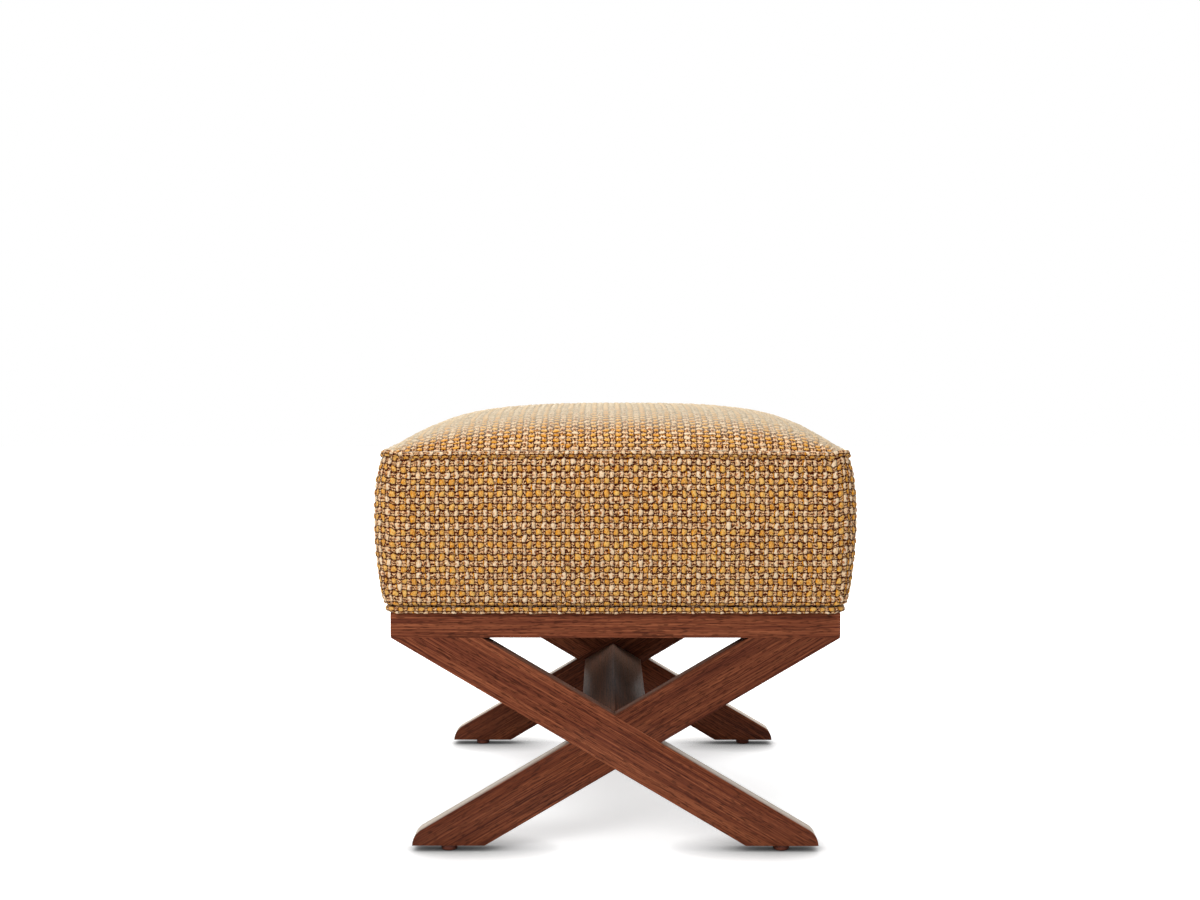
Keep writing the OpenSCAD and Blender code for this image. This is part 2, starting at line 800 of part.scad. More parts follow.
module cover_top_panel() {
    outer = [for (share = panel_shares) crown_ring(panel_half, panel_r, share, 0)];
    inner = [for (share = panel_shares) crown_ring(panel_half, panel_r, share, cover_t)];
    color("#d8a765") ringed_body(
        [0, 0, cover_z([0, 0])],
        concat(reversed(outer), inner),
        [0, 0, cover_z([0, 0]) - cover_t],
        false
    );
}
module cover_boxing_front() {
    color("#cf9d5c") boxing_panel(0);
}
module cover_boxing_right() {
    color("#c99656") boxing_panel(1);
}
module cover_boxing_rear() {
    color("#cf9d5c") boxing_panel(2);
}
module cover_boxing_left() {
    color("#c99656") boxing_panel(3);
}
module top_welt() {
    color("#dcb06f")
        welt(top_welt_half, top_welt_r, top_welt_d, [for (s = ring_steps) top_welt_z(s[0], s[1])]);
}
module bottom_welt() {
    color("#c08f50")
        welt(bottom_welt_half, bottom_welt_r, bottom_welt_d, [for (s = ring_steps) bottom_welt_z]);
}
module dust_cover() {
    half = grown(seat_half, -dust_inset);
    color("#23211f") difference() {
        translate([0, 0, rail_top]) linear_extrude(dust_t) square(2 * half, center = true);
        front_and_rear() left_and_right() seat_screw_hole();
    }
}

front_end_rail();
rear_end_rail();
left_side_rail();
right_side_rail();
rail_dowels();
front_leg_over();
front_leg_under();
rear_leg_over();
rear_leg_under();
leg_dowels();
stretcher();
stretcher_dowels();
corner_blocks();
block_screws();
seat_screws();
glides();
glide_nails();
seat_rail_front();
seat_rail_rear();
seat_rail_left();
seat_rail_right();
webbing_long();
webbing_cross();
hessian_sheet();
foam_block();
foam_crown();
wadding_wrap();
cover_top_panel();
cover_boxing_front();
cover_boxing_right();
cover_boxing_rear();
cover_boxing_left();
top_welt();
bottom_welt();
dust_cover();
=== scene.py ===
import math

import bpy
import numpy as np
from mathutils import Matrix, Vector
from mathutils.bvhtree import BVHTree


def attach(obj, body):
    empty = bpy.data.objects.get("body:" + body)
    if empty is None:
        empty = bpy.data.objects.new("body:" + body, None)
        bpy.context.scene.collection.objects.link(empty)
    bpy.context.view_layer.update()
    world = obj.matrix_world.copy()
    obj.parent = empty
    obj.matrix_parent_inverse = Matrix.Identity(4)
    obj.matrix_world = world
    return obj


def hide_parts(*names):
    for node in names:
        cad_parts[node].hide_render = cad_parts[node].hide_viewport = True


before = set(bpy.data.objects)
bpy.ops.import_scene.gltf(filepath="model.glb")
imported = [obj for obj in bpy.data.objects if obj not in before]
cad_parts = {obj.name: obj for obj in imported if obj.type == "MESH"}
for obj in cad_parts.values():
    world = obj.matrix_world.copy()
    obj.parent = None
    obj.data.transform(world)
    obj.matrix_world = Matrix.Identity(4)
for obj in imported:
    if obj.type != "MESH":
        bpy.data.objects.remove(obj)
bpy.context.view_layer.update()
mm = 0.001
print("frame loaded,", len(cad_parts), "nodes")


# Selecting and finishing pieces

def deselectAll():
    if bpy.context.object and bpy.context.object.mode != "OBJECT":
        bpy.ops.object.mode_set(mode="OBJECT")
    bpy.ops.object.select_all(action="DESELECT")


def pickUp(piece):
    deselectAll()
    piece.select_set(True)
    bpy.context.view_layer.objects.active = piece


def newPiece(name):  # names the primitive that was just added
    piece = bpy.context.object
    piece.name = piece.data.name = name
    return piece


def addModifier(piece, kind, **settings):
    pickUp(piece)
    modifier = piece.modifiers.new(kind.lower(), kind)
    for key, value in settings.items():
        setattr(modifier, key, value)
    return modifier


def applyAll(piece):
    pickUp(piece)
    for modifier in list(piece.modifiers):
        bpy.ops.object.modifier_apply(modifier=modifier.name)


def readPoints(piece):
    points = np.empty(len(piece.data.vertices) * 3)
    piece.data.vertices.foreach_get("co", points)
    return points.reshape(-1, 3)


def writePoints(piece, points):
    flat = np.ascontiguousarray(points, dtype=np.float64).ravel()
    piece.data.vertices.foreach_set("co", flat)
    piece.data.update()


def dress(piece, material, replaces=(), angle=None):
    piece.data.materials.clear()
    piece.data.materials.append(material)
    pickUp(piece)
    if angle is None:
        bpy.ops.object.shade_smooth()
    else:
        bpy.ops.object.shade_smooth_by_angle(angle=math.radians(angle))
    if replaces:
        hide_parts(*replaces)
    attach(piece, "root")


# Material maths, written as expressions

class Wire:  # one socket of a material
    def __init__(self, board, socket):
        self.board, self.socket = board, socket

    def math(self, operation, *others):
        return self.board.add("Math", {"operation": operation}, [self, *others])

    def __add__(self, other):
        return self.math("ADD", other)

    def __sub__(self, other):
        return self.math("SUBTRACT", other)

    def __rsub__(self, other):
        return self.board.add("Math", {"operation": "SUBTRACT"}, [other, self])

    def __mul__(self, other):
        return self.math("MULTIPLY", other)

    def __truediv__(self, other):
        return self.math("DIVIDE", other)

    def __pow__(self, other):
        return self.math("POWER", other)

    __radd__, __rmul__ = __add__, __mul__

    def floor(self):
        return self.math("FLOOR")

    def size(self):
        return self.math("ABSOLUTE")

    def wrap(self, period):
        return self.math("FLOORED_MODULO", period)

    def top(self, other):
        return self.math("MAXIMUM", other)

    def ease(self, low, high):  # 0 below low, 1 above high, smooth between
        return self.board.add("MapRange", {"interpolation_type": "SMOOTHSTEP"}, [self, low, high])


class Board:  # the nodes of one material
    def __init__(self, name):
        self.material = bpy.data.materials.new(name)
        self.material.use_nodes = True
        self.tree = self.material.node_tree
        self.tree.nodes.clear()

    def add(self, kind, settings=None, inputs=(), output=0):
        node = self.tree.nodes.new("ShaderNode" + kind)
        for key, value in (settings or {}).items():
            if key == "stops":
                self.setStops(node.color_ramp, value)
            else:
                setattr(node, key, value)
        for key, value in inputs.items() if isinstance(inputs, dict) else enumerate(inputs):
            if isinstance(value, Wire):
                self.tree.links.new(value.socket, node.inputs[key])
            elif value is not None:
                node.inputs[key].default_value = value
        return Wire(self, node.outputs[output]) if len(node.outputs) else node

    def setStops(self, ramp, stops):
        while len(ramp.elements) < len(stops):
            ramp.elements.new(0.5)
        for element, (place, shade) in zip(ramp.elements, stops):
            element.position, element.color = place, shade

    def noise(self, vector, scale=1.0, detail=2.0, rough=0.5, output=0, dims="3D"):
        inputs = {"Vector": vector, "Scale": scale, "Detail": detail, "Roughness": rough}
        return self.add("TexNoise", {"noise_dimensions": dims}, inputs, output)

    def split(self, vector):  # the three numbers of a vector
        self.add("SeparateXYZ", {}, [vector])
        return [Wire(self, socket) for socket in self.tree.nodes[-1].outputs]

    def luck(self, column, row, seed):  # three random numbers of a weave's crossing
        cell = self.add("CombineXYZ", {}, [column, row, seed])
        self.add("TexWhiteNoise", {"noise_dimensions": "3D"}, {"Vector": cell})
        return self.split(Wire(self, self.tree.nodes[-1].outputs["Color"]))

    def stretch(self, vector, scale):
        return self.add("VectorMath", {"operation": "MULTIPLY"}, [vector, scale])

    def blend(self, share, first, second, way="MIX"):
        return self.add("Mix", {"data_type": "RGBA", "blend_type": way},
                        {0: share, 6: first, 7: second}, 2)

    def ramp(self, share, *stops):
        return self.add("ValToRGB", {"stops": stops}, [share])

    def relief(self, strength, depth, height):
        return self.add("Bump", {}, {"Strength": strength, "Distance": depth, "Height": height},
                        "Normal")

    def finish(self, colour, rough, bump, more=None):  # a Principled surface as the output
        inputs = {"Base Color": colour, "Roughness": rough, "Normal": bump, **(more or {})}
        shader = self.add("BsdfPrincipled", {}, inputs)
        self.add("OutputMaterial", {}, {"Surface": shader})
        return self.material


def shade(red, green, blue):  # a colour read as 0 to 255 on a screen
    def linear(value):
        value /= 255
        return value / 12.92 if value <= 0.04045 else ((value + 0.055) / 1.055) ** 2.4
    return (linear(red), linear(green), linear(blue), 1.0)


# Camera, room and lamps

view = {  # where the photo was taken from, in millimetres and degrees
    "place": (-11.2, -1720, 493.05), "down": 3.3246, "left": 0.159,
    "lens": 45.24, "sensor": 36.0, "clip": (0.05, 60),
}
room = {
    "floorSize": 14.0, "floorShade": 0.74,
    "floorGlow": 0.58,  # a glow that the camera alone sees at the part's feet, over its own shade, kept low there as a painted soft shadow
    "glowReach": (0.38, 0.62), "glowNear": 0.06,  # a little more past the feet, where the painted soft shadow fades
    "glowFar": (0.8, 1.5), "glowSpread": 0.36,  # white farther out
    # a painted contact shadow: ambient occlusion darkens the floor's colour and glow close to the
    # feet
    "contactReach": 0.045, "contactDark": 1.35, "contactSamples": 8,
    "worldLow": 0.10, "worldHigh": 0.7, "worldRise": (0.05, 0.8),  # dim low behind the camera
    "worldBack": 1.0, "worldTurn": (-0.1, 0.5),  # bright behind the part
    "lampAim": (0, 0, 0.25), "lampSize": 1.2,
}
lamps = {  # place and power
    "topSoftbox": ((-0.2, 0.1, 2.3), 22.0),
    "backSoftbox": ((0.1, 2.1, 1.7), 26.0),
    "frontSoftbox": ((-1.0, -2.25, 1.75), 42.5),
}


def setCamera():
    bpy.ops.object.camera_add(
        location=[value * mm for value in view["place"]],
        rotation=(math.radians(90 - view["down"]), 0, math.radians(view["left"])))
    camera = bpy.context.object
    camera.name = "photoCamera"
    camera.data.sensor_width, camera.data.lens = view["sensor"], view["lens"]
    camera.data.clip_start, camera.data.clip_end = view["clip"]
    bpy.context.scene.camera = camera


def setLamp(name, place, power):
    bpy.ops.object.light_add(type="AREA", location=place)
    lamp = bpy.context.object
    lamp.name = name
    lamp.data.energy, lamp.data.size = power, room["lampSize"]
    toward = Vector(room["lampAim"]) - Vector(place)
    lamp.rotation_euler = toward.to_track_quat("-Z", "Y").to_euler()


def setWorld():  # white to the camera, and a soft light that comes mostly from behind the part
    world = bpy.data.worlds.new("paleRoom")
    bpy.context.scene.world = world
    world.use_nodes = True
    nodes, links = world.node_tree.nodes, world.node_tree.links
    nodes.clear()
    rays = nodes.new("ShaderNodeLightPath")
    lit, shown = nodes.new("ShaderNodeBackground"), nodes.new("ShaderNodeBackground")
    shown.inputs["Color"].default_value = (1, 1, 1, 1)
    toward, split = nodes.new("ShaderNodeTexCoord"), nodes.new("ShaderNodeSeparateXYZ")
    links.new(toward.outputs["Generated"], split.inputs[0])
    low, fall = nodes.new("ShaderNodeMapRange"), nodes.new("ShaderNodeMapRange")
    for node, axis, reach in ((low, "Z", "worldRise"), (fall, "Y", "worldTurn")):
        node.interpolation_type = "SMOOTHSTEP"
        node.inputs["From Min"].default_value = room[reach][0]
        node.inputs["From Max"].default_value = room[reach][1]
        links.new(split.outputs[axis], node.inputs["Value"])
    low.inputs["To Min"].default_value = room["worldLow"]
    low.inputs["To Max"].default_value = room["worldHigh"]
    fall.inputs["To Max"].default_value = room["worldBack"]
    links.new(low.outputs[0], fall.inputs["To Min"])
    links.new(fall.outputs[0], lit.inputs["Color"])
    mix, output = nodes.new("ShaderNodeMixShader"), nodes.new("ShaderNodeOutputWorld")
    links.new(rays.outputs["Is Camera Ray"], mix.inputs[0])
    links.new(lit.outputs[0], mix.inputs[1])
    links.new(shown.outputs[0], mix.inputs[2])
    links.new(mix.outputs[0], output.inputs["Surface"])


def setFloor():
    deselectAll()
    bpy.ops.mesh.primitive_plane_add(size=room["floorSize"], location=(0, 0, 0))
    floor = newPiece("floor")
    board = Board("paleFloor")
    tone = (room["floorShade"],) * 3 + (1,)
    cover = board.add("AmbientOcclusion", {"samples": room["contactSamples"]},
                      {"Distance": room["contactReach"]}, "AO")
    contactShade = cover ** room["contactDark"]  # painted contact shadow, darker close to the feet
    matte = board.add("BsdfDiffuse", {}, {"Color": board.blend(contactShade, (0, 0, 0, 1), tone)})
    looks = board.add("LightPath", {}, [], "Is Camera Ray")
    place = board.add("TexCoord", {}, [], "Object")
    far = board.add("VectorMath", {"operation": "LENGTH"}, [place], "Value")
    # the camera's glow rises away from the part, so that the floor near it stays darker, a painted
    # soft shadow
    near = far.ease(*room["glowReach"]) * room["glowNear"] + room["floorGlow"]
    spread = far.ease(*room["glowFar"]) * room["glowSpread"] + near
    glow = board.add("Emission", {}, {"Color": (1, 1, 1, 1), "Strength": looks * spread * contactShade})
    board.add("OutputMaterial", {}, {"Surface": board.add("AddShader", {}, [matte, glow])})
    floor.data.materials.append(board.material)


bpy.context.scene.view_settings.view_transform = "Standard"
setCamera()
setWorld()
setFloor()
for lampName, (lampPlace, lampPower) in lamps.items():
    setLamp(lampName, lampPlace, lampPower)
print("camera, floor and lamps set")


# Woods, metals and plain stuffs

walnutLook = {
    "dark": shade(84, 38, 25), "middle": shade(116, 60, 38), "light": shade(147, 84, 55),
    # the pale colour at the end of the next line is a painted reflection of the pale room, seen at
    # a glance
    "pore": shade(46, 20, 10), "paintedReflection": shade(214, 200, 180), "stops": (0.4, 0.5, 0.6),
    "driftScale": (3.5, 12, 12), "drift": (0, 0.004, 0.004),  # how the grain wavers
    "figureScale": (1.7, 60, 60), "figureShare": 0.22,
    "lineScale": (1.8, 580, 580), "lineShare": 0.38,
    "fineScale": (16, 1200, 1200), "fineShare": 0.4,
    "poreScale": (110, 900, 900), "poreFrom": (0.53, 0.66), "poreDark": 0.6,
    "ringScale": (0.8, 26, 26), "rings": 42, "ringBend": 0.8, "ringSharp": 4, "ringDark": 0.42,
    "glance": (0.55, 0.85),  # how far a face turns from the camera before the painted reflection pales it
    "shine": (0.115, 0.135),  # the heights over which the seat's shade dulls it
    "rough": 0.24, "roughLines": 0.12, "roughPores": 0.1, "roughDull": 0.55, "specular": 0.35,
    "relief": 0.3, "reliefDepth": 0.0002, "reliefFine": 0.6, "reliefPores": 0.8,
}


def walnut(name, turn, shift, tone, gloss, sheen, dulled):
    board, look = Board(name), walnutLook
    place = board.add("TexCoord", {}, [], "Object")
    laid = board.add("Mapping", {}, {"Vector": place, "Rotation": turn, "Location": shift})
    drift = board.noise(board.stretch(laid, look["driftScale"]), detail=1, output="Color")
    drift = board.add("VectorMath", {"operation": "SUBTRACT"}, [drift, (0.5, 0.5, 0.5)])
    drift = board.stretch(drift, look["drift"])
    laid = board.add("VectorMath", {"operation": "ADD"}, [laid, drift])
    figure = board.noise(board.stretch(laid, look["figureScale"]), detail=3)
    broad = board.noise(board.stretch(laid, look["ringScale"]), detail=1)
    rings = (broad * look["rings"] + figure * look["ringBend"]).wrap(1)
    lateWood = rings ** look["ringSharp"]  # dark, and sharp behind
    lines = board.noise(board.stretch(laid, look["lineScale"]), detail=3, rough=0.6)
    fine = board.noise(board.stretch(laid, look["fineScale"]), detail=2)
    pores = board.noise(board.stretch(laid, look["poreScale"]), detail=1).ease(*look["poreFrom"])
    figured = (figure * look["figureShare"] + lines * look["lineShare"]
               + fine * look["fineShare"])
    shades = look["dark"], look["middle"], look["light"]
    colour = board.ramp(figured, *zip(look["stops"], shades))
    colour = board.blend(1.0, colour, (tone, tone, tone, 1), "MULTIPLY")
    colour = board.blend(lateWood * look["ringDark"], colour, look["pore"])
    colour = board.blend(pores * look["poreDark"], colour, look["pore"])
    # painted reflection: a pale colour mixed into the wood's colour where a face is seen at a
    # glance, taken away higher up, where the seat's shade falls
    glance = board.add("LayerWeight", {}, {"Blend": 0.5}, "Facing").ease(*look["glance"])
    dull = board.split(place)[2].ease(*look["shine"]) * dulled
    colour = board.blend(glance * (1 - dull) * sheen, colour, look["paintedReflection"])
    height = fine * look["reliefFine"] - pores * look["reliefPores"]
    bump = board.relief(look["relief"] * gloss, look["reliefDepth"], height)
    rough = (lines * look["roughLines"] + pores * look["roughPores"]
             + dull * look["roughDull"] + look["rough"])
    return board.finish(colour, rough, bump, {"Specular IOR Level": gloss * look["specular"]})


def plainWood(name, dark, light, turn=(0, 0, 0)):
    board = Board(name)
    place = board.add("TexCoord", {}, [], "Object")
    laid = board.add("Mapping", {}, {"Vector": place, "Rotation": turn})
    grain = board.noise(board.stretch(laid, (4, 220, 220)), detail=4, rough=0.6)
    colour = board.ramp(grain, (0.35, dark), (0.65, light))
    return board.finish(colour, grain * 0.1 + 0.6, board.relief(0.2, 0.0003, grain))


def mottled(name, dark, light, scale, rough, metal=0.0, depth=0.0002):
    board = Board(name)
    place = board.add("TexCoord", {}, [], "Object")
    spots = board.noise(place, scale=scale, detail=4, rough=0.6)
    colour = board.ramp(spots, (0.35, dark), (0.65, light))
    bump = board.relief(0.4, depth, spots)
    return board.finish(colour, spots * 0.15 + rough, bump, {"Metallic": metal})


def coarseWeave(name, dark, light, pitch, rough=0.9):  # a plain weave of one yarn
    board = Board(name)
    place = board.add("TexCoord", {}, [], "Object")
    x, y = [across * (math.pi / pitch) for across in board.split(place)[:2]]
    yarns = (x.math("SINE") * y.math("SINE")) * 0.5 + 0.5
    fuzz = board.noise(place, scale=900, detail=2)
    colour = board.ramp(yarns * 0.7 + fuzz * 0.3, (0.2, dark), (0.75, light))
    return board.finish(colour, fuzz * 0.08 + rough, board.relief(0.8, 0.0004, yarns))


def paintNode(name, material):  # a better finish on a CAD node that stays
    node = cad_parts[name]
    node.data.materials.clear()
    node.data.materials.append(material)


def paintInner():
    beech = plainWood("beechDowel", shade(196, 150, 100), shade(222, 182, 132), (0, math.pi / 2, 0))
    pine = shade(204, 160, 104), shade(232, 196, 144)
    pineAcross = plainWood("pineAcross", *pine)
    pineDeep = plainWood("pineDeep", *pine, (0, 0, -math.pi / 2))
    zinc = mottled("zincPlate", shade(150, 146, 134), shade(196, 192, 180), 260, 0.32, 1.0, 0.00005)
    jute = coarseWeave("juteWebbing", shade(52, 44, 36), shade(104, 92, 74), 0.0022)
    hessian = coarseWeave("hessianCloth", shade(110, 86, 50), shade(186, 154, 104), 0.0016)
    foam = mottled("seatFoam", shade(226, 208, 156), shade(244, 230, 188), 700, 0.8, 0.0, 0.0004)
    finishes = {
        "rail_dowels": beech, "leg_dowels": beech, "stretcher_dowels": beech,
        "seat_rail_front": pineAcross, "seat_rail_rear": pineAcross, "corner_blocks": pineAcross,
        "seat_rail_left": pineDeep, "seat_rail_right": pineDeep,
        "block_screws": zinc, "seat_screws": zinc, "glide_nails": zinc,
        "webbing_long": jute, "webbing_cross": jute, "hessian_sheet": hessian,
        "foam_block": foam, "foam_crown": foam,
    }
    for name, material in finishes.items():
        paintNode(name, material)


paintInner()
print("inner pieces painted")


# Walnut base

base = {"legAngle": math.radians(30.685), "edge": 0.45, "edgeSteps": 2, "sharp": 35, "smooth": 30}
grainTurns = {  # turns that lay a member's length along the pattern's X
    "across": (0, 0, 0), "deep": (0, 0, -math.pi / 2),
    "over": (0, -base["legAngle"], 0), "under": (0, base["legAngle"], 0),
}
members = {  # grain, its shift, lightness, gloss, painted reflection at a glance, dulling in the seat's shade
    "front_end_rail": ("across", (0.0, 0.0, 0.0), 1.02, 0.3, 0.78, 0.85),
    "rear_end_rail": ("across", (0.6, 0.31, 0.2), 0.9, 0.35, 0.78, 0.85),
    "left_side_rail": ("deep", (0.2, 0.13, 0.4), 0.95, 0.35, 0.78, 0.85),
    "right_side_rail": ("deep", (0.9, 0.52, 0.1), 0.9, 0.35, 0.78, 0.85),
    "front_leg_over": ("over", (0.3, 0.07, 0.11), 1.07, 0.3, 0.78, 0.85),
    "front_leg_under": ("under", (0.1, 0.23, 0.36), 0.84, 0.3, 0.78, 0.85),
    "rear_leg_over": ("over", (0.7, 0.41, 0.27), 1.08, 0.25, 0.78, 0.85),
    "rear_leg_under": ("under", (0.5, 0.63, 0.05), 0.82, 0.25, 0.78, 0.85),
    "stretcher": ("deep", (0.4, 0.77, 0.6), 0.58, 0.015, 0.12, 0.0),
}


def copyNode(name, newName):
    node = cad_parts[name]
    piece = bpy.data.objects.new(newName, node.data.copy())
    bpy.context.collection.objects.link(piece)
    pickUp(piece)
    bpy.ops.object.mode_set(mode="EDIT")
    bpy.ops.mesh.select_all(action="SELECT")
    bpy.ops.mesh.remove_doubles(threshold=0.000005)
    bpy.ops.mesh.dissolve_limited(angle_limit=math.radians(0.5))
    bpy.ops.object.mode_set(mode="OBJECT")
    return piece


def easeEdges(piece, width, steps):  # the small rounding that sanding leaves on every arris
    addModifier(piece, "BEVEL", width=width * mm, segments=steps, limit_method="ANGLE",
                angle_limit=math.radians(base["sharp"]), use_clamp_overlap=True)
    addModifier(piece, "TRIANGULATE")
    applyAll(piece)


def makeBase():
    for name, (laid, *facts) in members.items():
        words = name.split("_")
        piece = copyNode(name, words[0] + "".join(word.title() for word in words[1:]))
        easeEdges(piece, base["edge"], base["edgeSteps"])
        wood = walnut(piece.name + "Wood", grainTurns[laid], *facts)
        dress(piece, wood, [name], angle=base["smooth"])


makeBase()
print("walnut base made")


# The cushion's measures, in millimetres

cushion = {
    "half": 225.0, "topOver": 9.0, "lowOver": 8.0, "swell": 10.0, "bow": 2.6,
    "topRound": 22.0, "lowRound": 15.0, "swellRound": 17.0, "skew": 0.8, "power": 0.7,
    "topZ": 397.15, "lowZ": 251.8, "edgeZ": 401.95, "seamBow": 2.2, "crown": 39.6,
    "crownPower": 2.85, "crownRound": 0.49, "panelHalf": 228.7, "panelRound": 18.2,
    "length": 229.0, "topWelt": 3.5, "lean": 6.0,
}
weave = {
    "across": 4.76, "along": 6.3,  # pitch of the yarns
    "columnSteps": 4, "rowSteps": 5,  # mesh steps to one yarn
    "depth": 2.1, "proud": 0.7, "sink": 0.5, "wander": 0.16,
    "seed": 7, "layers": 6, "chances": 512,
    "ochre": (0.60, 0.55), "ochreHigh": (0.8, 0.35),  # half width and length, least rise, luck
    "cream": (0.47, 0.56), "creamHigh": (0.75, 0.35),
    "strand": 0.34, "strandDip": 0.7,
}


def swell(share):
    share = np.clip(share, 0, 1)
    return np.maximum(0, np.sin(np.pi * share ** cushion["skew"])) ** cushion["power"]


def crownSide(share):
    return np.clip(1 - np.abs(share) ** cushion["crownPower"], 0, 1) ** cushion["crownRound"]


def coverZ(x, y):  # height of the crowned top over a point
    u = np.clip(x / cushion["panelHalf"], -1, 1)
    u = np.abs(u - cushion["lean"] / cushion["panelHalf"] * (1 - u ** 8))  # fuller on the right
    v = np.clip(np.abs(y) / cushion["panelHalf"], 0, 1)
    lift = cushion["seamBow"] * (1 - (u * v) ** 2)
    return cushion["edgeZ"] + lift + cushion["crown"] * crownSide(u) * crownSide(v)


def sidePlace(s, out, corner, bow, length=None):  # s runs -1 to 1 along a side
    straight = out - corner
    if length is None:
        length = straight + corner * np.pi / 4
    d = np.abs(s) * length
    lean = np.clip((d - straight) / (length - straight), 0, 1) * np.pi / 4
    flat = np.minimum(d, straight)
    along = np.sign(s) * (flat + corner * np.sin(lean))
    facing = out - corner + corner * np.cos(lean) + bow * (1 - (flat / straight) ** 2)
    return along, facing


def turnTo(side, along, facing):  # side 0 is the front, then right, rear and left
    return [(along, -facing), (facing, along), (-along, facing), (-facing, -along)][side]


def seamZ(s):  # height of the top panel's edge beside a place on a side
    along, facing = sidePlace(s, cushion["panelHalf"], cushion["panelRound"], 0)
    return coverZ(along, facing)


def boxingPlace(side, s, share, grow=1.0):
    puff = swell(share) * grow
    out = cushion["half"] + cushion["topOver"] + (cushion["lowOver"] - cushion["topOver"]) * share
    corner = cushion["topRound"] + (cushion["lowRound"] - cushion["topRound"]) * share
    along, facing = sidePlace(s, out + cushion["swell"] * puff,
                              corner + cushion["swellRound"] * puff, cushion["bow"] * puff,
                              cushion["length"])
    x, y = turnTo(side, along, facing)
    top = cushion["topZ"] + seamZ(s) - cushion["edgeZ"]
    return np.stack([x, y, top + (cushion["lowZ"] - top) * share], -1)


# The stuffed shape, swelled by a cloth simulation

padding = {
    "cuts": 30, "voxel": 6.0, "grow": 0.94, "crownShare": 0.97, "floorDrop": 3,
    "pressure": 4.0, "frames": 20, "cap": 3.0,
    "seamHold": 7.0, "seamRise": 4, "seamEdge": 6,  # the band at each seam that is sewn down
    "inside": 4.2, "blurs": 12,  # how far it ends under the cover, and how smoothly the cover lies
}


def stuffedPlace(points):  # from a cube of half size 1 to the slack cushion
    x, y, z = points.T
    placed = np.empty_like(points)
    face = 0.999  # past it a point is on the top or the underside
    edge = np.maximum(np.maximum(np.abs(x), np.abs(y)), 1e-6)
    around = np.where(np.abs(y) >= np.abs(x),
                      np.where(y < 0, 0, 2), np.where(x > 0, 1, 3))
    for side in range(4):
        here = around == side
        a = [x, y, -x, -y][side][here] / edge[here]
        share = (1 - z[here]) / 2
        place = boxingPlace(side, a, share, padding["grow"])
        rim = boxingPlace(side, a, np.zeros_like(a))
        rim[:, 2] += cushion["topWelt"]
        foot = boxingPlace(side, a, np.ones_like(a))
        t = edge[here][:, None]
        lid = rim * t
        full = coverZ(lid[:, 0], lid[:, 1])
        low = cushion["edgeZ"] + (full - cushion["edgeZ"]) * padding["crownShare"]
        lid[:, 2] = np.where(t[:, 0] > face, rim[:, 2], low)
        floor = foot * t
        floor[:, 2] = foot[:, 2] - padding["floorDrop"]
        place = np.where(z[here][:, None] > face, lid, place)
        placed[here] = np.where(z[here][:, None] < -face, floor, place)
    return placed * mm


def makeStuffing():
    deselectAll()
    bpy.ops.mesh.primitive_cube_add(size=2, location=(0, 0, 0))
    piece = newPiece("seatPadding")
    bpy.ops.object.mode_set(mode="EDIT")
    bpy.ops.mesh.select_all(action="SELECT")
    bpy.ops.mesh.subdivide(number_cuts=padding["cuts"])
    bpy.ops.object.mode_set(mode="OBJECT")
    writePoints(piece, stuffedPlace(readPoints(piece)))
    addModifier(piece, "REMESH", mode="VOXEL", voxel_size=padding["voxel"] * mm)
    applyAll(piece)
    start = readPoints(piece)
    swellUp(piece, start)
    addModifier(piece, "SUBSURF", levels=1, render_levels=1)
    applyAll(piece)
    return piece


def swellUp(piece, start):
    x, y, z = (start / mm).T
    seam = np.abs(z - (cushion["topZ"] + padding["seamRise"]))
    edge = np.maximum(np.abs(x), np.abs(y)) > cushion["half"] - padding["seamEdge"]
    hold = (z < cushion["lowZ"] + padding["seamHold"]) | (edge & (seam < padding["seamHold"]))
    group = piece.vertex_groups.new(name="sewn")
    group.add([int(i) for i in np.flatnonzero(hold)], 1.0, "REPLACE")
    cloth = addModifier(piece, "CLOTH")
    cloth.settings.use_pressure = True
    cloth.settings.uniform_pressure_force = padding["pressure"]
    cloth.settings.vertex_group_mass = "sewn"
    cloth.settings.effector_weights.gravity = 0
    cloth.point_cache.frame_start, cloth.point_cache.frame_end = 1, padding["frames"]
    for step in range(1, padding["frames"] + 1):
        bpy.context.scene.frame_set(step)
    applyAll(piece)
    bpy.context.scene.frame_set(1)
    moved = readPoints(piece) - start
    far = np.linalg.norm(moved, axis=1, keepdims=True)
    cap = padding["cap"] * mm
    print("cushion swelled by up to", round(float(far.max()) / mm, 1), "mm, typically",
          round(float(np.median(far)) / mm, 2), "mm")
    writePoints(piece, start + moved * np.minimum(1, cap / np.maximum(far, 1e-9)))


stuffing = makeStuffing()
stuffedSurface = BVHTree.FromObject(stuffing, bpy.context.evaluated_depsgraph_get())
print("stuffing swelled,", len(stuffing.data.vertices), "points")


# The nubby cloth: a plain weave of thick yarns over thin strands

